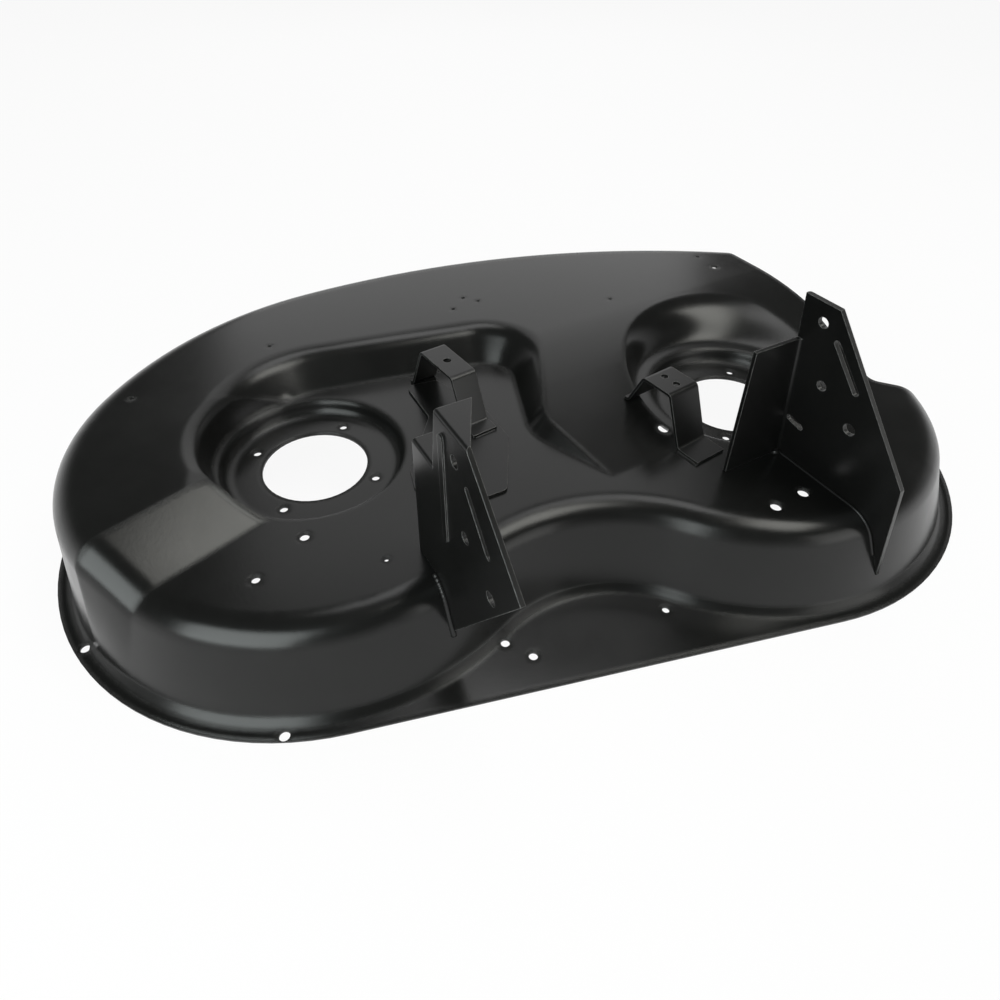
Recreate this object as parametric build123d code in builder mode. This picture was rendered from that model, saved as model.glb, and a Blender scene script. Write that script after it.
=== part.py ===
from build123d import *
import os
from math import acos, atan, atan2, cos, degrees, hypot, radians, sin, sqrt, tan

# Pressed steel deck of a two-spindle mower, standing on its rolled flange.
# Plan places are measured from the left spindle: X to the right, Y to the front, Z up from the floor.

# Sheet and plate
sheet = 2.7
plate = 4.0
strap = 3.0
weld_gap = 0.25

# Spindles, and the heights of the pressed levels above the floor
spindle_spacing = 483.0
mandrel_height = 72.0
low_height = 89.0
high_height = 127.0

# Plan outline of the skirt where it meets the flange
skirt_radius = 258.0
waist_radius = 145.0
front_radius = 958.0
front_crown = (306.0, 368.0)
front_centre = (front_crown[0], front_crown[1] - front_radius)
cheek_radius = 400.0
corner_radius = 60.0
flange_lip = 14.9
root_band = 4.0

# Skirt draft and the rolled shoulder at the top
low_draft = 21.8
high_draft = 12.0
shoulder_radius = 30.0

# Ramp at the rear left, from the high level to the low one
ramp_turn = 33.0
ramp_run = 50.0
ramp_inner = 60.0
ramp_steps = 4

# Raised field round the sunk pocket: its foot corners, corner radii and bank
pocket_left = -67.0
pocket_front_left = (-67.0, 104.7)
pocket_front_right = (243.4, 125.6)
pocket_waist = (228.0, -23.0)
pocket_tail = (585.0, -500.0)
pocket_radii = (97.0, 35.0, 60.0)
bank_taper = 38.0
crest_radius = 25.0
field_left = -500.0
field_right = 900.0
field_front = 600.0

# Long slope that drops the field to the rear, square to the direction of travel
mount_angle = 15.0
slope_top = 0.0
slope_run = 180.0
slope_crest = 450.0
slope_foot = 5.0
slope_lead = 10.0
slope_left = 190.0
slope_width = 800.0

# Bowl round the right spindle: foot radius, then how the wall opens as it climbs
bowl_radius = 114.0
bowl_spread = 43.0
bowl_shift = (25.0, -5.0)
bowl_wall = ((0.0, 0.0), (0.31, 0.31), (0.62, 0.62), (0.95, 0.84), (1.25, 0.96), (1.6, 1.01))

# Mandrel dishes: floor, rolled rim at the low level, then the wall up to the high level
dish_radius = 90.0
dish_rim = 94.6
dish_fillet = 8.0
rim_round = 5.0
shelf_radius = 99.0
wall_radius = 106.0
wall_flare = 15.0
flare_round = 12.0
bend_flats = 2
skim = 0.03
mandrel_radius = 54.4
mandrel_bolt_circle = 68.5
mandrel_bolt_radius = 4.2
mandrel_bolt_turn = 60.0

# Side discharge: corners of the cut, and where it leaves the right flange
discharge_front = (656.0, 122.0)
discharge_rear = (661.0, -19.0)
discharge_exit = -16.5
discharge_round = 15.0

# Holes through the pressed levels and the flange, as (x, y, radius)
deck_holes = (
    (-14.0, -119.0, 4.6),
    (-57.0, -160.0, 4.0),
    (55.0, -164.0, 2.2),
    (430.0, -186.0, 5.6),
    (467.0, -175.0, 5.6),
    (370.0, -54.0, 6.0),
    (571.0, 232.0, 4.2),
    (563.0, 267.0, 2.4),
    (394.0, 177.0, 2.0),
    (209.0, 222.0, 2.2),
    (226.0, 210.0, 2.2),
    (191.0, 196.0, 2.2),
    (-173.0, 85.0, 2.0),
    (-33.0, 158.0, 2.0),
)
flange_holes = (
    (-229.8, -129.3, 4.8),
    (-53.1, -262.5, 4.8),
    (151.6, -217.9, 4.4),
    (173.3, -238.1, 4.4),
    (316.5, -218.6, 3.8),
)

# Left hanger: a fore-and-aft plate that reaches out behind the skirt
left_foot = (87.0, -160.0)
left_front = (-3.0, 2.7)
left_step = 219.0
left_neck = (40.0, 48.0)
left_top = 276.0
left_crown = 94.0
left_tip = (167.0, 197.5)
left_heel = (61.0, 40.0)
left_tab = 29.0
left_step_tab = 20.0
tab_bend = 3.0
bead_place = 58.0
bead_span = (157.0, 262.0)
bead_width = 7.0
bead_height = 1.6

# Right hanger: a plate that leans in, with a flange folded to the left along its front
right_foot = (479.5, -115.0)
right_lean = 12.0
right_fold = -10.0
right_top = 191.0
right_crown = 26.6
right_knee = (128.0, 55.0)
right_toe = (139.0, -76.0)
right_flange_top = 142.0
right_flange_foot = 74.0
right_flange_crown = 54.0
fold_bend = 3.0
buried = 60.0

# Hole pattern shared by both hangers, from the upper end of the slot
slot_drop = (28.5, -36.0)
slot_width = 6.5
pattern_holes = ((-18.0, 12.0, 5.2), (-5.0, -50.0, 5.2), (33.0, -77.0, 6.2))
left_pattern = (95.0, 239.6)
right_pattern = (31.0, 160.0)
short_slot = (7.0, 50.0)
short_slot_turn = -13.0
short_slot_length = 14.0
short_slot_width = 7.0

# Saddle brackets: straps bent up over the belt run
saddle_turn = -69.0
saddle_bend = 5.0
saddle_lean = 24.5
left_saddle = (155.5, 54.0)
left_saddle_top = 145.0
left_saddle_size = (62.0, 30.0)
left_saddle_feet = (19.0, 6.0)
left_saddle_hole = 4.5
right_saddle = (375.3, -38.0)
right_saddle_top = 146.0
right_saddle_size = (38.0, 40.0)
right_saddle_feet = (28.5, 5.0)
right_saddle_hole = 4.0
right_saddle_pitch = 17.0

# Doubler plate welded on the low level under the left saddle
doubler_corners = (
    (112.0, 94.0),
    (150.0, 98.0),
    (193.0, 25.0),
    (205.0, -24.0),
    (182.0, -104.0),
    (158.0, -110.0),
    (94.0, -84.0),
    (94.0, -53.0),
    (128.0, 30.0),
)
doubler_radius = 9.0

# The row's origin is the middle of the box round the finished deck, on the floor
flange_radius = skirt_radius + flange_lip
box_left = -flange_radius
box_right = spindle_spacing + flange_radius * cos(radians(discharge_exit))
box_front = front_centre[1] + front_radius + flange_lip
box_rear = left_foot[1] - left_tip[0] * cos(radians(mount_angle))
deck = Plane(origin=(-(box_left + box_right) / 2, -(box_rear + box_front) / 2, 0))
spindles = ((0.0, 0.0), (spindle_spacing, 0.0))


def spot(x, y, z=0.0):
    """A place on the deck, in the row's own frame."""
    return deck.from_local_coords(Vector(x, y, z))


def heading(angle):
    """Unit vector in plan."""
    return Vector(cos(radians(angle)), sin(radians(angle)), 0)


def bearing(start, end):
    """Angle in degrees from one plan place to another."""
    return degrees(atan2(end[1] - start[1], end[0] - start[0]))


def cheek_centre():
    """Centre of the arc that runs inside the front arc and round the left spindle."""
    base = hypot(*front_centre)
    near = cheek_radius - skirt_radius
    far = front_radius - cheek_radius
    swing = degrees(acos((base**2 + near**2 - far**2) / (2 * base * near)))
    angle = radians(bearing((0, 0), front_centre) + swing)
    return (near * cos(angle), near * sin(angle))


def outline(grow, straight_rear=False):
    """Plan of the skirt's foot, grown sideways, with a waist or a straight edge at the rear."""
    cheek = cheek_centre()
    half = spindle_spacing / 2
    waist = (half, -sqrt((skirt_radius + waist_radius) ** 2 - half**2))
    radius = skirt_radius + grow
    cheek_start = bearing(front_centre, cheek)
    cheek_end = bearing(cheek, (0, 0))
    rear_left = 270.0 if straight_rear else 360.0 + bearing((0, 0), waist)
    side = spindle_spacing + radius
    side_front = front_centre[1] + sqrt((front_radius + grow) ** 2 - (side - front_centre[0]) ** 2)
    front_start = bearing(front_centre, (side, side_front))
    with BuildSketch() as plan:
        with BuildLine():
            CenterArc((0, 0), radius, cheek_end, rear_left - cheek_end)
            if straight_rear:
                Line((0, -radius), (spindle_spacing, -radius))
            else:
                turn = 540.0 - 2 * rear_left
                CenterArc(waist, waist_radius - grow, rear_left - 180.0, turn)
            CenterArc((spindle_spacing, 0), radius, 540.0 - rear_left, rear_left - 180.0)
            Line((side, 0), (side, side_front))
            CenterArc(front_centre, front_radius + grow, front_start, cheek_start - front_start)
            CenterArc(cheek, cheek_radius + grow, cheek_start, cheek_end - cheek_start)
        make_face()
        corner = plan.vertices().group_by(Axis.X)[-1].sort_by(Axis.Y)[-1]
        fillet(corner, corner_radius + grow)
    return plan.sketch


def drafted_body(inset, height, draft):
    """Skirt of one height, drawn in by its draft and rolled over at the shoulder."""
    wall = inset / cos(radians(low_draft))
    with BuildPart() as body:
        with BuildSketch(deck.offset(sheet)):
            add(outline(-wall))
        extrude(amount=height - inset - sheet, taper=draft)
        fillet(body.faces().sort_by(Axis.Z)[-1].edges(), shoulder_radius - inset)
    return body.part


def raised_field(inset):
    """Ground above the low level, banked down to the pocket, with a rounded crest."""
    drop = inset / sin(radians(bank_taper))
    with BuildPart() as field:
        with BuildSketch(deck.offset(low_height - drop)):
            with BuildLine():
                shore = FilletPolyline(
                    (pocket_left, pocket_tail[1]),
                    pocket_front_left,
                    pocket_front_right,
                    pocket_waist,
                    pocket_tail,
                    radius=list(pocket_radii),
                )
                Polyline(
                    shore @ 1,
                    (field_right, pocket_tail[1]),
                    (field_right, field_front),
                    (field_left, field_front),
                    (field_left, pocket_tail[1]),
                    shore @ 0,
                )
            make_face()
        extrude(amount=high_height - inset - low_height + drop, taper=bank_taper)
        rim = field.faces().sort_by(Axis.Z)[-1].edges()
        middle = deck.origin
        rim = rim.filter_by_position(Axis.X, field_left / 2 + middle.X, field_right * 0.9 + middle.X)
        rim = rim.filter_by_position(Axis.Y, pocket_tail[1] * 0.9 + middle.Y, field_front * 0.8 + middle.Y)
        fillet(rim, crest_radius - inset)
    return field.part


def bowl(inset):
    """Space over the right spindle, opening towards the front and the discharge."""
    with BuildPart() as space:
        for share, climb in bowl_wall:
            height = low_height - inset + (high_height - low_height) * climb
            place = (spindle_spacing + bowl_shift[0] * share, bowl_shift[1] * share)
            with BuildSketch(deck.offset(height)):
                with Locations(place):
                    Circle(bowl_radius + bowl_spread * share + inset / 2)
        loft()
    return space.part


def rear_slope(inset):
    """Space over the long slope, drawn in the fore-and-aft plane and run across the deck."""
    fore = heading(90 + mount_angle)
    side = Plane(origin=spot(0, 0), x_dir=fore, z_dir=heading(mount_angle)).offset(slope_left)
    fall_angle = atan((high_height - low_height) / slope_run)
    start = slope_top + slope_crest * tan(fall_angle / 2) + slope_lead
    with BuildPart() as space:
        with BuildSketch(side):
            with BuildLine():
                fall = FilletPolyline(
                    (start, high_height - inset + skim),
                    (slope_top, high_height - inset),
                    (slope_top - slope_run, low_height - inset),
                    (slope_top - slope_run - slope_width, low_height - inset),
                    radius=[slope_crest, slope_foot],
                )
                sky = 2 * high_height
                Polyline(fall @ 1, ((fall @ 1).X, sky), (start, sky), fall @ 0)
            make_face()
        extrude(amount=slope_width)
    return space.part


def rear_left_space():
    """Space behind the ramp's upper edge, where the high body stops."""
    reach = -field_left * 1.4
    edge = heading(180 + ramp_turn) * reach
    with BuildPart() as space:
        with BuildSketch(deck):
            with BuildLine():
                Polyline((0, 0), (edge.X, edge.Y), (edge.X, -reach), (100, -reach), (100, 0), close=True)
            make_face()
        extrude(amount=2 * high_height)
    return space.part


def ramp_section(share):
    """Upright plane across the ramp, square to its fall, at a share of its run."""
    out = heading(180 + ramp_turn)
    fall = heading(ramp_turn - 90) * ramp_run * share
    return Plane(origin=spot(fall.X, fall.Y), x_dir=out, z_dir=out.cross(Vector(0, 0, 1)))


def ramp_space():
    """Space between the two creases of the ramp, from the dish out past the flange."""
    with BuildPart() as space:
        with BuildSketch(ramp_section(0)):
            with Locations((ramp_inner, 0)):
                Rectangle(skirt_radius, 2 * high_height, align=(Align.MIN, Align.MIN))
        extrude(amount=-ramp_run)
    return space.part


def ramp_profile(share, inset):
    """Section of the ramp and its shoulder, part way from the high level to the low one."""
    along = ramp_run * share
    draft = radians(high_draft + (low_draft - high_draft) * share)
    top = high_height - (high_height - low_height) * share - inset
    foot = skirt_radius - inset / cos(radians(low_draft))
    crown = foot - (top - sheet) * tan(draft)
    with BuildSketch(ramp_section(share)) as section:
        with BuildLine():
            brow = FilletPolyline(
                (sqrt(foot**2 - along**2), sheet),
                (sqrt(crown**2 - along**2), top),
                (ramp_inner, top),
                radius=shoulder_radius - inset,
            )
            Polyline(brow @ 1, (ramp_inner, sheet), brow @ 0)
        make_face()
    return section.sketch.face()


def ramp(inset, low_end):
    """Ramp with the shoulder climbing beside it, lofted down to the low body's own section."""
    with BuildPart() as body:
        sections = [ramp_profile(step / ramp_steps, inset) for step in range(ramp_steps)]
        loft(sections + [low_end])
    return body.part


def turned(profile):
    """Corners of a turned profile, with each bend taken in a few flats."""
    corners = [profile @ 0]
    for edge in profile.edges().sort_by(profile):
        steps = 1 if edge.geom_type == GeomType.LINE else bend_flats
        places = [edge @ (step / steps) for step in range(steps + 1)]
        if (places[0] - corners[-1]).length > (places[-1] - corners[-1]).length:
            places.reverse()
        corners += places[1:]
    return corners


def dish(inset):
    """Sunk seats of the mandrels, cut from above: floor, rolled rim, wall and rounded crest."""
    floor = mandrel_height - inset
    shelf = low_height - inset + skim
    crest = high_height - inset
    sky = 2 * high_height
    with BuildLine():
        seat = FilletPolyline(
            (0, floor),
            (dish_radius + inset, floor),
            (dish_rim + inset, shelf),
            (shelf_radius + inset, shelf),
            radius=[dish_fillet + inset, rim_round - inset],
        )
        wall = FilletPolyline(
            seat @ 1,
            (wall_radius + inset, crest),
            (wall_radius + inset + wall_flare, crest + skim),
            radius=flare_round - inset,
        )
    corners = turned(seat) + turned(wall)[1:]
    with BuildPart() as space:
        for centre in spindles:
            with BuildSketch(Plane(origin=spot(*centre), x_dir=(1, 0, 0), z_dir=(0, -1, 0))):
                with BuildLine():
                    Polyline(*corners, (corners[-1].X, sky), (0, sky), close=True)
                make_face()
            revolve(axis=Axis(spot(*centre), (0, 0, 1)))
    return space.part


def upper_level(inset):
    """High level with its banks, cut away over the bowl, the long slope and behind the ramp."""
    with BuildPart() as level:
        add(drafted_body(inset, high_height, high_draft))
        add(raised_field(inset), mode=Mode.INTERSECT)
        add(rear_left_space(), mode=Mode.SUBTRACT)
        add(bowl(inset), mode=Mode.SUBTRACT)
        add(rear_slope(inset), mode=Mode.SUBTRACT)
        split(bisect_by=deck.offset(low_height - inset), keep=Keep.TOP)
    return level.part


def front_skirt(inset):
    """Steeper skirt under the high level, from the ramp round the front to the discharge."""
    edge = heading(180 + ramp_turn) * -field_left * 1.4
    with BuildPart() as skirt:
        add(drafted_body(inset, high_height, high_draft))
        with BuildSketch(deck):
            with BuildLine():
                Polyline(
                    (0, 0),
                    (edge.X, edge.Y),
                    (edge.X, field_front),
                    (field_right, field_front),
                    (field_right, 0),
                    close=True,
                )
            make_face()
        extrude(amount=low_height - inset, mode=Mode.INTERSECT)
    return skirt.part


def deck_form(inset):
    """Solid under the deck's outer face, or under its inner face when inset by the sheet."""
    with BuildPart() as form:
        add(drafted_body(inset, low_height, low_draft))
        add(ramp_space(), mode=Mode.SUBTRACT)
        within = ramp_section(1).from_local_coords(Vector(skirt_radius / 2, low_height / 2, 0))
        low_end = form.faces().sort_by_distance(within)[0]
        add(front_skirt(inset))
        add(upper_level(inset))
        add(ramp(inset, low_end))
        add(dish(inset), mode=Mode.SUBTRACT)
    return form.part


def discharge_cut():
    """Plan of what the side discharge takes away."""
    leave = heading(discharge_exit) * flange_radius
    leave = (spindle_spacing + leave.X, leave.Y)
    far = heading(bearing(discharge_rear, leave)) * 2 * flange_radius
    ahead = heading(90 + mount_angle) * 2 * flange_radius
    with BuildSketch() as plan:
        with BuildLine():
            FilletPolyline(
                (discharge_front[0] + ahead.X, discharge_front[1] + ahead.Y),
                discharge_front,
                discharge_rear,
                (discharge_rear[0] + far.X, discharge_rear[1] + far.Y),
                (field_right, field_front),
                radius=discharge_round,
                close=True,
            )
        make_face()
    return plan.sketch


def hanger_holes(place):
    """Slot and round holes of a hanger, on the plane of its face."""
    reach = Vector(*slot_drop)
    with BuildSketch() as holes:
        with Locations(Vector(*place) + reach / 2):
            turn = bearing((0, 0), slot_drop)
            SlotCenterToCenter(reach.length, slot_width, rotation=turn)
        for x, y, radius in pattern_holes:
            with Locations((place[0] + x, place[1] + y)):
                Circle(radius)
    return holes.sketch


def slope_height(place):
    """Height of the long slope at a plan place."""
    fore = Vector(*place).dot(heading(90 + mount_angle))
    return high_height + (fore - slope_top) * (high_height - low_height) / slope_run


def saddle(place, size, top, feet, ground, far_grade=0.0):
    """Strap bent up over the belt, with a foot at each end and a grade under the far foot."""
    half = size[0] / 2
    lean = tan(radians(saddle_lean))
    tilt = atan(far_grade)
    lift = weld_gap + strap / 2
    crown = top - strap / 2
    near = ground[0] + lift
    far = ground[1] + lift / cos(tilt)
    near_run = half + (crown - near) * lean
    far_run = half + (crown - far) * lean / (1 + far_grade * lean)
    far += far_grade * (far_run - half)
    across = heading(saddle_turn + 90)
    side = Plane(origin=spot(*place), x_dir=heading(saddle_turn), z_dir=-across)
    with BuildPart() as bent:
        with BuildSketch(side):
            with BuildLine():
                FilletPolyline(
                    (near_run + feet[0], near),
                    (near_run, near),
                    (half, crown),
                    (-half, crown),
                    (-far_run, far),
                    (-far_run - feet[1] * cos(tilt), far + feet[1] * sin(tilt)),
                    radius=saddle_bend,
                )
            trace(line_width=strap)
        extrude(amount=size[1] / 2, both=True)
    return bent.part


# Drawn shell: one sheet, from the flange over the skirt to the mandrel seats
outer_form = deck_form(0)
inner_form = deck_form(sheet)
clear_form = Pos(0, 0, weld_gap) * outer_form
inner_wall = sheet / cos(radians(low_draft))
with BuildPart() as deck_shell:
    with BuildSketch(deck):
        add(outline(flange_lip, straight_rear=True))
    extrude(amount=sheet)
    with BuildSketch(deck.offset(sheet)):
        add(outline(root_band))
    extrude(amount=2 * root_band, taper=45)
    add(outer_form)
    add(inner_form, mode=Mode.SUBTRACT)
    with BuildSketch(deck):
        add(outline(root_band - inner_wall))
    extrude(amount=2 * root_band, taper=45, mode=Mode.SUBTRACT)
    with BuildSketch(deck):
        add(discharge_cut())
        for centre in spindles:
            with Locations(centre):
                Circle(mandrel_radius)
                with PolarLocations(mandrel_bolt_circle, 4, start_angle=mandrel_bolt_turn):
                    Circle(mandrel_bolt_radius)
        for x, y, radius in deck_holes + flange_holes:
            with Locations((x, y)):
                Circle(radius)
    extrude(amount=2 * high_height, mode=Mode.SUBTRACT)
deck_shell.part.label = "deck_shell"

# Doubler plate on the low level, under the near foot of the left saddle
with BuildPart() as doubler_plate:
    with BuildSketch(deck.offset(low_height + weld_gap)) as doubler_plan:
        with BuildLine():
            FilletPolyline(*doubler_corners, radius=doubler_radius, close=True)
        make_face()
    extrude(amount=sheet)
doubler_plate.part.label = "doubler_plate"

# Left hanger: flat plate, two turned tabs, a pressed bead and the hole pattern
aft = heading(mount_angle - 90)
upward = Vector(0, 0, 1)
left_face = Plane(origin=spot(*left_foot), x_dir=aft, z_dir=aft.cross(upward))
with BuildPart() as left_hanger_bracket:
    with BuildSketch(left_face):
        with BuildLine():
            Polyline(
                (left_front[0], low_height - buried),
                (left_front[0], low_height),
                (left_front[1], left_step),
                (left_neck[0], left_step),
                (left_neck[1], left_top),
                (left_crown, left_top),
                left_tip,
                left_heel,
                (left_heel[0] - buried, low_height - buried),
                close=True,
            )
        make_face()
    extrude(amount=-plate)
    for height, start, end, width in (
        (left_top, left_neck[1], left_crown, left_tab),
        (left_step, left_front[1], left_neck[0], left_step_tab),
    ):
        tab_plane = Plane(origin=spot(*left_foot, height), x_dir=aft)
        with BuildSketch(tab_plane):
            with BuildLine():
                Polyline((start, 0), (end, 0), (end, plate), (start, width), close=True)
            make_face()
        extrude(amount=-plate)
        bend_middle = (start + end) / 2
        outer = left_face.from_local_coords(Vector(bend_middle, height, 0))
        fillet(left_hanger_bracket.edges().sort_by_distance(outer)[0], tab_bend)
    with BuildSketch(left_face):
        with Locations((bead_place, sum(bead_span) / 2)):
            SlotOverall(bead_span[1] - bead_span[0], bead_width, rotation=90)
    extrude(amount=bead_height)
    with BuildSketch(left_face):
        add(hanger_holes(left_pattern))
    extrude(amount=-plate, mode=Mode.SUBTRACT)
    add(clear_form, mode=Mode.SUBTRACT)
left_hanger_bracket.part.label = "left_hanger_bracket"

# Right hanger: leaning plate with a flange folded along its front, and the hole pattern
inward = heading(180 + mount_angle)
rise = upward * cos(radians(right_lean)) + inward * sin(radians(right_lean))
right_face = Plane(origin=spot(*right_foot, low_height), x_dir=aft, z_dir=aft.cross(rise))
fold_foot = right_face.from_local_coords(Vector(right_fold, 0, 0))
fold_face = Plane(origin=fold_foot, x_dir=inward, z_dir=-aft)
fold_shift = right_flange_top * tan(radians(right_lean))
with BuildPart() as right_hanger_bracket:
    with BuildSketch(right_face) as right_plan:
        with BuildLine():
            Polyline(
                (right_fold, -buried),
                (right_fold, right_top),
                (right_crown, right_top),
                right_knee,
                right_toe,
                (right_toe[0] - 2 * buried, right_toe[1]),
                close=True,
            )
        make_face()
    extrude(amount=-plate)
    with BuildSketch(fold_face):
        with BuildLine():
            Polyline(
                (-plate / 2, 0),
                (fold_shift - plate / 2, right_flange_top),
                (fold_shift + right_flange_crown, right_flange_top),
                (right_flange_foot, 0),
                close=True,
            )
        make_face()
    extrude(amount=-plate)
    for across, behind in ((right_fold, -plate), (right_fold + plate, 0)):
        bend = right_face.from_local_coords(Vector(across, right_flange_top / 2, behind))
        fillet(right_hanger_bracket.edges().sort_by_distance(bend)[0], fold_bend)
    add(clear_form, mode=Mode.SUBTRACT)
    with BuildSketch(right_face):
        add(hanger_holes(right_pattern))
        with Locations(short_slot):
            SlotCenterToCenter(short_slot_length, short_slot_width, rotation=short_slot_turn)
    extrude(amount=-plate, mode=Mode.SUBTRACT)
right_hanger_bracket.part.label = "right_hanger_bracket"

# Left saddle: near foot on the doubler, far foot on the low level
with BuildPart() as left_saddle_bracket:
    ground = (low_height + weld_gap + sheet, low_height)
    add(saddle(left_saddle, left_saddle_size, left_saddle_top, left_saddle_feet, ground))
    with BuildSketch(deck.offset(left_saddle_top)):
        with Locations(left_saddle):
            Circle(left_saddle_hole)
    extrude(amount=-2 * strap, mode=Mode.SUBTRACT)
left_saddle_bracket.part.label = "left_saddle_bracket"

# Right saddle: near foot on the low level, far foot on the long slope
with BuildPart() as right_saddle_bracket:
    along = heading(saddle_turn)
    far_edge = Vector(*right_saddle) - along * right_saddle_size[0] / 2
    fall = (high_height - low_height) / slope_run
    grade = -fall * along.dot(heading(90 + mount_angle))
    ground = (low_height, slope_height((far_edge.X, far_edge.Y)))
    add(saddle(right_saddle, right_saddle_size, right_saddle_top, right_saddle_feet, ground, grade))
    add(clear_form, mode=Mode.SUBTRACT)
    with BuildSketch(deck.offset(right_saddle_top)):
        for side in (-1, 1):
            step = along * side * right_saddle_pitch / 2
            with Locations((right_saddle[0] + step.X, right_saddle[1] + step.Y)):
                Circle(right_saddle_hole)
    extrude(amount=-2 * strap, mode=Mode.SUBTRACT)
right_saddle_bracket.part.label = "right_saddle_bracket"

os.makedirs("parts", exist_ok=True)
export_step(deck_shell.part, "parts/deck_shell.step")
export_step(doubler_plate.part, "parts/doubler_plate.step")
export_step(left_hanger_bracket.part, "parts/left_hanger_bracket.step")
export_step(right_hanger_bracket.part, "parts/right_hanger_bracket.step")
export_step(left_saddle_bracket.part, "parts/left_saddle_bracket.step")
export_step(right_saddle_bracket.part, "parts/right_saddle_bracket.step")
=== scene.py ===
import math

import bmesh
import bpy
from mathutils import Matrix, Vector
from mathutils.bvhtree import BVHTree


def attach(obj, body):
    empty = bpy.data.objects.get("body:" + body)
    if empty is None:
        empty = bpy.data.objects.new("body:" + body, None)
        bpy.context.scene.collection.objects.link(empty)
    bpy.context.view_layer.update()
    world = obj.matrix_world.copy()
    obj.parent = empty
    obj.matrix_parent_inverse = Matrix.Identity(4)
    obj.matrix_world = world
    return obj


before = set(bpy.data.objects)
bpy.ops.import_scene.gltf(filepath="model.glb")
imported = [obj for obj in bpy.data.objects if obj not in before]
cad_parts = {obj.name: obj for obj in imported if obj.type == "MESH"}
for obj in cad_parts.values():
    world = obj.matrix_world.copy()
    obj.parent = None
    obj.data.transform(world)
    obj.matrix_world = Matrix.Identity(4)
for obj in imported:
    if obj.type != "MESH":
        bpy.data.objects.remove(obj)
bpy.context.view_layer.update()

scene = bpy.context.scene

# Camera, fitted to the round holes and the flange of the photograph
CAMERA_AT = Vector((-0.18804, -0.59817, 0.54329))
CAMERA_HEADING = math.radians(15.31)
CAMERA_PITCH = math.radians(44.03)
CAMERA_ROLL = -0.02032
CAMERA_FOCAL_PX = 672.93
CAMERA_NEAR = 0.01
FRAME_PX = 1000.0
SENSOR_MM = 36.0

# Soft boxes: name, place, aim, size, radiance and tint
LIGHTS = (
    ("front_wall", (0.42, 2.3, 1.75), (0.05, 0.0, 0.1), (2.5, 2.4), 1.05, (1.0, 1.0, 1.0)),
    ("top_box", (0.25, 0.4, 2.2), (0.0, 0.0, 0.1), (1.1, 0.9), 3.1, (1.0, 1.0, 1.0)),
    ("right_box", (0.95, -0.55, 1.95), (0.0, 0.0, 0.1), (1.3, 0.8), 5.8, (1.0, 1.0, 0.94)),
    ("right_low_box", (1.55, -1.75, 0.75), (0.0, 0.0, 0.1), (1.3, 1.1), 1.5, (1.0, 1.0, 0.97)),
    ("left_box", (-1.35, -1.3, 0.95), (-0.3, -0.1, 0.1), (1.5, 1.4), 5.2, (0.93, 1.0, 0.99)),
)

# World: brightness at the horizon and overhead, and the heights (as sines) between which it fades
HORIZON = 0.8
SKY = 0.08
HORIZON_UP_TO = 0.03
SKY_FROM = 0.4

# Floor, just under the flange so that the two faces don't coincide
FLOOR_SIZE = 40.0
FLOOR_HEIGHT = -0.0005
FLOOR_TONES = (0.8, 0.82)
FLOOR_WHITE = 0.93

# Black coats: tint, roughness, rounding of edges, paler tint on edges (partly wear, partly a painted
# highlight where edges catch light) and depth of the orange peel
COAT_SPECULAR = 0.36
SHELL_COAT = ((0.0066, 0.0068, 0.0064), 0.21, 0.008, (0.02, 0.02, 0.019), 0.0003)
PLATE_COAT = ((0.0052, 0.0053, 0.0051), 0.30, 0.0011, (0.16, 0.16, 0.155), 0.0003)
# Paler weld edges: a painted highlight for light on the bead, broken into patches by noise
WELD_COAT = ((0.009, 0.009, 0.0088), 0.30, 0.0004, (0.03, 0.03, 0.029), 0.0006)

# Welded brackets, in metres in the shared frame: directions, feet and levels
ORIGIN = Vector((-0.235881, -0.030795, 0.0))
MOUNT_ANGLE = math.radians(15.0)
AFT = Vector((math.sin(MOUNT_ANGLE), -math.cos(MOUNT_ANGLE), 0.0))
INWARD = Vector((-math.cos(MOUNT_ANGLE), -math.sin(MOUNT_ANGLE), 0.0))
LEFT_FOOT = ORIGIN + Vector((0.087, -0.160, 0.0))
RIGHT_FOOT = ORIGIN + Vector((0.4795, -0.115, 0.0))
RIGHT_LEAN = math.tan(math.radians(12.0))
RIGHT_FLANGE_LEAD = 0.008
RIGHT_FLANGE = RIGHT_FOOT - AFT * RIGHT_FLANGE_LEAD
LOW_LEVEL = 0.089
ABOVE_ALL = 0.4
SADDLE_ANGLE = math.radians(-69.0)
SADDLE_ALONG = Vector((math.cos(SADDLE_ANGLE), math.sin(SADDLE_ANGLE), 0.0))
SADDLE_ACROSS = Vector((-SADDLE_ALONG.y, SADDLE_ALONG.x, 0.0))
LEFT_SADDLE = ORIGIN + Vector((0.1555, 0.054, 0.0))
LEFT_SADDLE_REACH = 0.0735
RIGHT_SADDLE = ORIGIN + Vector((0.3753, -0.038, 0.0))
RIGHT_SADDLE_REACH = 0.0728

# Weld beads, in metres: radii, runs along the feet and inward offsets from the foot lines
PLATE_BEAD = 0.0017
TACK_BEAD = 0.003
CORNER_BEAD = 0.004
LEFT_SADDLE_BEAD = 0.0015
RIGHT_SADDLE_BEAD = 0.002
RIGHT_PLATE_RUN = (-0.004, 0.128)
RIGHT_PLATE_OFFSET = 0.0012
LEFT_PLATE_RUN = (0.030, 0.064)
LEFT_PLATE_OFFSET = 0.001
FLANGE_RUN = (0.004, 0.060)
CORNER_INWARD = (0.002, 0.008)
CORNER_AFT = 0.006
LEFT_SADDLE_HALF = 0.013
RIGHT_SADDLE_SIDE = 0.0208
RIGHT_SADDLE_RUN = 0.028

# Form of a bead: sides of its section, depth and pitch (in radii) of its ripples, and its thin ends
BEAD_SIDES = 10
BEAD_RIPPLE = 0.18
BEAD_PITCH = 1.3
BEAD_END = 0.25

# Rounds in which a leaning plate's foot settles on the shell
SETTLE_ROUNDS = 4


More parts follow.
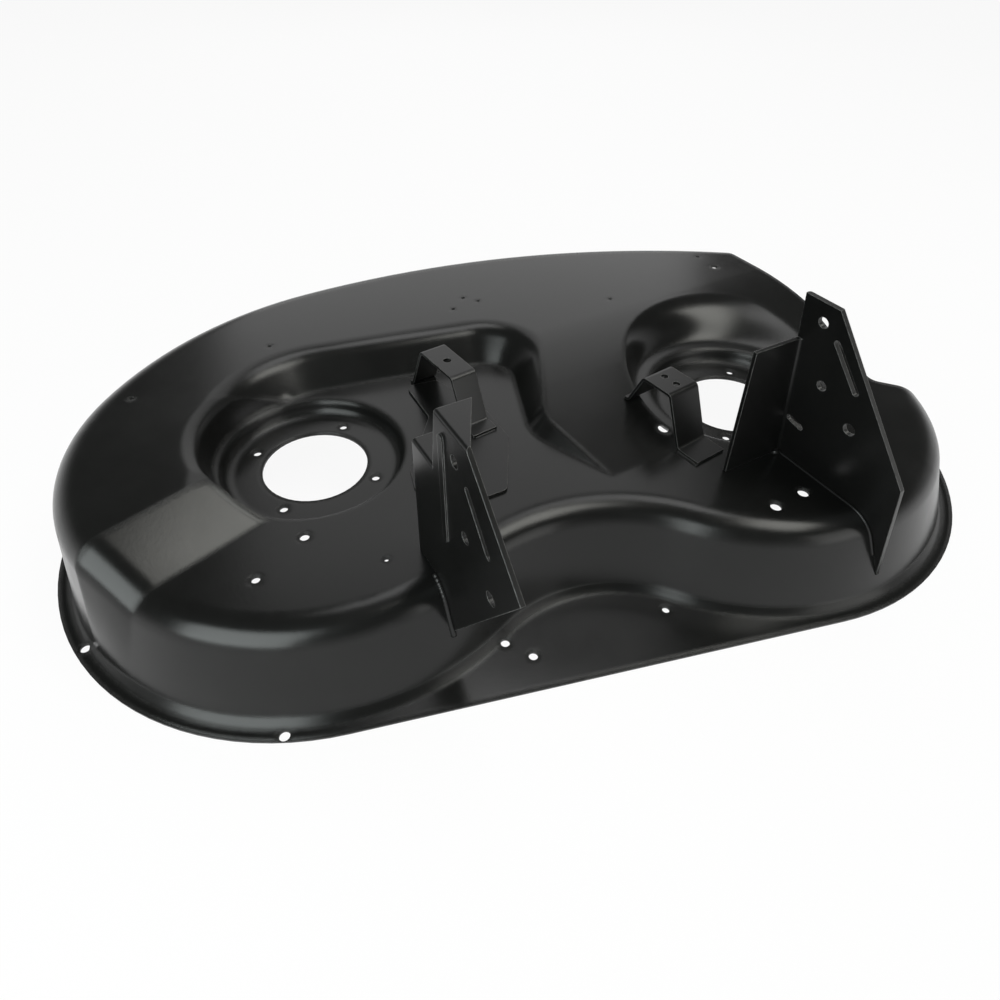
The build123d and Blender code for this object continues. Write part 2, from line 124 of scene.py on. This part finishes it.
def make_camera():
    """Pinhole camera with its axes turned by heading, pitch and roll."""
    ahead = Vector((math.sin(CAMERA_HEADING), math.cos(CAMERA_HEADING), 0.0))
    side = Vector((math.cos(CAMERA_HEADING), -math.sin(CAMERA_HEADING), 0.0))
    up = Vector((0.0, 0.0, 1.0))
    forward = ahead * math.cos(CAMERA_PITCH) - up * math.sin(CAMERA_PITCH)
    down = -ahead * math.sin(CAMERA_PITCH) - up * math.cos(CAMERA_PITCH)
    right = side * math.cos(CAMERA_ROLL) + down * math.sin(CAMERA_ROLL)
    down = down * math.cos(CAMERA_ROLL) - side * math.sin(CAMERA_ROLL)
    turn = Matrix((right, -down, -forward)).transposed()
    data = bpy.data.cameras.new("camera")
    data.sensor_fit = "HORIZONTAL"
    data.sensor_width = SENSOR_MM
    data.lens = CAMERA_FOCAL_PX * SENSOR_MM / FRAME_PX
    data.clip_start = CAMERA_NEAR
    camera = bpy.data.objects.new("camera", data)
    camera.matrix_world = Matrix.Translation(CAMERA_AT) @ turn.to_4x4()
    scene.collection.objects.link(camera)
    scene.camera = camera


def node(tree, kind, **values):
    """One shader node, with its input sockets or settings given by name."""
    made = tree.nodes.new(kind)
    for name, value in values.items():
        if name in made.inputs:
            made.inputs[name].default_value = value
        else:
            setattr(made, name, value)
    return made


def ramp(tree, source, low, high, start, end):
    """Colour between two colours, by a value."""
    made = node(tree, "ShaderNodeValToRGB")
    made.color_ramp.elements[0].position = start
    made.color_ramp.elements[0].color = (*low, 1.0)
    made.color_ramp.elements[1].position = end
    made.color_ramp.elements[1].color = (*high, 1.0)
    tree.links.new(source, made.inputs["Fac"])
    return made.outputs["Color"]


def spread(tree, source, start, end, low=0.0, high=1.0):
    """Value mapped from one range to another."""
    made = node(tree, "ShaderNodeMapRange")
    made.inputs["From Min"].default_value = start
    made.inputs["From Max"].default_value = end
    made.inputs["To Min"].default_value = low
    made.inputs["To Max"].default_value = high
    tree.links.new(source, made.inputs["Value"])
    return made.outputs["Result"]


def noise(tree, place, **values):
    """Noise at a place on the object."""
    made = node(tree, "ShaderNodeTexNoise", **values)
    tree.links.new(place, made.inputs["Vector"])
    return made.outputs["Fac"]


def edge_wear_and_highlight_mask(tree, rounded, place):
    """Where the rounded normal leaves the flat one: the sheet's edges, broken up by noise, which get a
    paler colour that is partly wear and partly a painted highlight.
    """
    link = tree.links.new
    flat = node(tree, "ShaderNodeNewGeometry").outputs["Normal"]
    turn = node(tree, "ShaderNodeVectorMath", operation="DOT_PRODUCT")
    link(rounded, turn.inputs[0])
    link(flat, turn.inputs[1])
    edge = spread(tree, turn.outputs["Value"], 0.995, 0.88)
    edge_patch_noise = noise(tree, place, Scale=140.0, Detail=4.0, Roughness=0.7)
    patchy = spread(tree, edge_patch_noise, 0.35, 0.65, low=0.25)
    both = node(tree, "ShaderNodeMath", operation="MULTIPLY")
    link(edge, both.inputs[0])
    link(patchy, both.inputs[1])
    return both.outputs["Value"]


def powder_coat(name, tint, roughness, rounding, edge_wear_and_highlight_tint, peel_depth):
    """Black coat: fine orange peel, cloudy tone and gloss, and paler edges, partly wear and partly a
    painted highlight where edges catch light.
    """
    material = bpy.data.materials.new(name)
    material.use_nodes = True
    tree = material.node_tree
    link = tree.links.new
    shader = tree.nodes["Principled BSDF"]
    shader.inputs["Specular IOR Level"].default_value = COAT_SPECULAR
    place = node(tree, "ShaderNodeTexCoord").outputs["Object"]
    rounded = node(tree, "ShaderNodeBevel", Radius=rounding, samples=6).outputs["Normal"]

    clouds = noise(tree, place, Scale=7.0, Detail=6.0, Roughness=0.65)
    tone = ramp(tree, clouds, [0.75 * c for c in tint], [1.3 * c for c in tint], 0.3, 0.72)
    # Paler colour on the edges: partly wear, partly a painted highlight standing in for edges catching
    # light
    mix = node(tree, "ShaderNodeMix", data_type="RGBA")
    mix.inputs["B"].default_value = (*edge_wear_and_highlight_tint, 1.0)
    link(edge_wear_and_highlight_mask(tree, rounded, place), mix.inputs["Factor"])
    link(tone, mix.inputs["A"])
    link(mix.outputs["Result"], shader.inputs["Base Color"])

    gloss = spread(tree, clouds, 0.3, 0.7, low=roughness - 0.03, high=roughness + 0.05)
    link(gloss, shader.inputs["Roughness"])

    peel = noise(tree, place, Scale=520.0, Detail=3.0, Roughness=0.55)
    bump = node(tree, "ShaderNodeBump", Strength=0.16, Distance=peel_depth)
    link(peel, bump.inputs["Height"])
    link(rounded, bump.inputs["Normal"])
    link(bump.outputs["Normal"], shader.inputs["Normal"])
    return material


def dress(obj, material):
    """Gives a piece one material."""
    obj.data.materials.clear()
    obj.data.materials.append(material)


def seen(tree):
    """One for camera, glossy and transmission rays, which see the white ground."""
    path = node(tree, "ShaderNodeLightPath")
    first = node(tree, "ShaderNodeMath", operation="ADD")
    tree.links.new(path.outputs["Is Camera Ray"], first.inputs[0])
    tree.links.new(path.outputs["Is Glossy Ray"], first.inputs[1])
    second = node(tree, "ShaderNodeMath", operation="ADD", use_clamp=True)
    tree.links.new(first.outputs["Value"], second.inputs[0])
    tree.links.new(path.outputs["Is Transmission Ray"], second.inputs[1])
    return second.outputs["Value"]


def floor_material():
    """Pale floor that reads white and keeps a soft shadow."""
    material = bpy.data.materials.new("floor_paint")
    material.use_nodes = True
    tree = material.node_tree
    link = tree.links.new
    paint = tree.nodes["Principled BSDF"]
    paint.inputs["Roughness"].default_value = 0.9
    paint.inputs["Specular IOR Level"].default_value = 0.1
    place = node(tree, "ShaderNodeTexCoord").outputs["Object"]
    mottle = noise(tree, place, Scale=3.0, Detail=4.0)
    low, high = FLOOR_TONES
    link(ramp(tree, mottle, [low] * 3, [high] * 3, 0.0, 1.0), paint.inputs["Base Color"])
    white = node(tree, "ShaderNodeEmission", Color=(1.0, 1.0, 1.0, 1.0), Strength=1.0)
    share = node(tree, "ShaderNodeMath", operation="MULTIPLY")
    share.inputs[1].default_value = FLOOR_WHITE
    link(seen(tree), share.inputs[0])
    mix = node(tree, "ShaderNodeMixShader")
    link(share.outputs["Value"], mix.inputs["Fac"])
    link(paint.outputs["BSDF"], mix.inputs[1])
    link(white.outputs["Emission"], mix.inputs[2])
    link(mix.outputs["Shader"], tree.nodes["Material Output"].inputs["Surface"])
    return material


def make_floor():
    """Wide floor under the deck."""
    bpy.ops.mesh.primitive_plane_add(size=FLOOR_SIZE, location=(0.0, 0.0, FLOOR_HEIGHT))
    floor = bpy.context.object
    floor.name = "studio_floor"
    floor.data.materials.append(floor_material())


def softbox(name, at, aim, size, radiance, tint):
    """Rectangular soft light that shows in reflections."""
    data = bpy.data.lights.new(name, "AREA")
    data.shape = "RECTANGLE"
    data.size, data.size_y = size
    data.energy = radiance * math.pi * size[0] * size[1]
    data.color = tint
    light = bpy.data.objects.new(name, data)
    light.location = at
    light.rotation_euler = (Vector(aim) - Vector(at)).to_track_quat("-Z", "Y").to_euler()
    scene.collection.objects.link(light)


def make_world():
    """Pale at the horizon and dim overhead, so that the soft boxes give the highlights."""
    world = bpy.data.worlds.new("studio")
    scene.world = world
    world.use_nodes = True
    tree = world.node_tree
    place = node(tree, "ShaderNodeTexCoord").outputs["Generated"]
    height = node(tree, "ShaderNodeSeparateXYZ")
    tree.links.new(place, height.inputs["Vector"])
    shade = ramp(tree, height.outputs["Z"], [HORIZON] * 3, [SKY] * 3, HORIZON_UP_TO, SKY_FROM)
    tree.links.new(shade, tree.nodes["Background"].inputs["Color"])


def make_light():
    """Soft boxes: a wall in front, one overhead and three to the sides."""
    for box in LIGHTS:
        softbox(*box)


def surface(name):
    """Tree of a node's triangles, for finding the height of its upper side."""
    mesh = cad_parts[name].data
    corners = [v.co.copy() for v in mesh.vertices]
    return BVHTree.FromPolygons(corners, [tuple(p.vertices) for p in mesh.polygons])


def drop(tree, at):
    """Height of the first surface below a place in plan."""
    hit = tree.ray_cast(Vector((at.x, at.y, ABOVE_ALL)), Vector((0.0, 0.0, -1.0)))
    return hit[0].z if hit[0] else LOW_LEVEL


def ring(made, place, along, radius):
    """Round section of a bead at one place on its path."""
    across = along.cross(Vector((0.0, 0.0, 1.0))).normalized()
    over = across.cross(along)
    corners = []
    for k in range(BEAD_SIDES):
        angle = 2.0 * math.pi * k / BEAD_SIDES
        reach = radius * (across * math.cos(angle) + over * math.sin(angle))
        corners.append(made.verts.new(place + reach))
    return corners


def weld(name, path, radius, material):
    """Weld bead along a path: a low round run of overlapping ripples."""
    made = bmesh.new()
    rings = []
    travel = 0.0
    last = len(path) - 1
    for i, place in enumerate(path):
        before = path[max(i - 1, 0)]
        after = path[min(i + 1, last)]
        travel += (place - before).length
        swell = 1.0 - BEAD_RIPPLE + BEAD_RIPPLE * abs(math.sin(travel * math.pi / (BEAD_PITCH * radius)))
        if i in (0, last):
            swell = BEAD_END
        rings.append(ring(made, place, (after - before).normalized(), radius * swell))
    for one, two in zip(rings, rings[1:]):
        for k in range(BEAD_SIDES):
            beside = (k + 1) % BEAD_SIDES
            face = made.faces.new((one[k], one[beside], two[beside], two[k]))
            face.smooth = True
    made.faces.new(list(reversed(rings[0])))
    made.faces.new(rings[-1])
    bmesh.ops.recalc_face_normals(made, faces=made.faces)
    mesh = bpy.data.meshes.new(name)
    made.to_mesh(mesh)
    made.free()
    bead = bpy.data.objects.new(name, mesh)
    scene.collection.objects.link(bead)
    dress(bead, material)
    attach(bead, "root")


def foot_run(tree, foot, offset, lean, run, steps):
    """Places along a hanger's foot, on the shell, for a plate that may lean inward."""
    start, end = run
    places = []
    for i in range(steps + 1):
        base = foot + AFT * (start + (end - start) * i / steps)
        height = LOW_LEVEL
        for _ in range(SETTLE_ROUNDS):
            at = base + INWARD * (height - LOW_LEVEL) * lean + INWARD * offset
            height = drop(tree, at)
        places.append(Vector((at.x, at.y, height)))
    return places


def straight(tree, start, end, steps):
    """Places along a straight line in plan, on a surface."""
    line = [start.lerp(end, i / steps) for i in range(steps + 1)]
    return [Vector((at.x, at.y, drop(tree, at))) for at in line]


def make_hanger_welds(shell, material):
    """Beads along the feet of both hangers and in the right hanger's inner corner."""
    run = foot_run(shell, RIGHT_FOOT, RIGHT_PLATE_OFFSET, RIGHT_LEAN, RIGHT_PLATE_RUN, steps=150)
    weld("weld_right_plate", run, PLATE_BEAD, material)
    start, end = [RIGHT_FLANGE + INWARD * reach for reach in FLANGE_RUN]
    weld("weld_right_flange", straight(shell, start, end, steps=70), PLATE_BEAD, material)
    run = foot_run(shell, LEFT_FOOT, LEFT_PLATE_OFFSET, 0.0, LEFT_PLATE_RUN, steps=60)
    weld("weld_left_plate", run, TACK_BEAD, material)
    start, end = [RIGHT_FLANGE + INWARD * reach for reach in CORNER_INWARD]
    corner = straight(shell, start, end + AFT * CORNER_AFT, steps=12)
    weld("weld_right_corner", corner, CORNER_BEAD, material)


def make_saddle_welds(shell, doubler, material):
    """Beads at the end of the left saddle's near foot and beside the right saddle's."""
    end = LEFT_SADDLE + SADDLE_ALONG * LEFT_SADDLE_REACH
    half = SADDLE_ACROSS * LEFT_SADDLE_HALF
    run = straight(doubler, end - half, end + half, steps=40)
    weld("weld_left_saddle", run, LEFT_SADDLE_BEAD, material)
    end = RIGHT_SADDLE + SADDLE_ALONG * RIGHT_SADDLE_REACH - SADDLE_ACROSS * RIGHT_SADDLE_SIDE
    run = straight(shell, end - SADDLE_ALONG * RIGHT_SADDLE_RUN, end, steps=40)
    weld("weld_right_saddle", run, RIGHT_SADDLE_BEAD, material)


make_camera()
make_world()
make_light()
make_floor()
shell_coat = powder_coat("shell_coat", *SHELL_COAT)
plate_coat = powder_coat("plate_coat", *PLATE_COAT)
weld_coat = powder_coat("weld_coat", *WELD_COAT)
for name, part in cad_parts.items():
    dress(part, shell_coat if name == "deck_shell" else plate_coat)
shell_surface = surface("deck_shell")
make_hanger_welds(shell_surface, weld_coat)
make_saddle_welds(shell_surface, surface("doubler_plate"), weld_coat)

scene.view_settings.view_transform = "Standard"
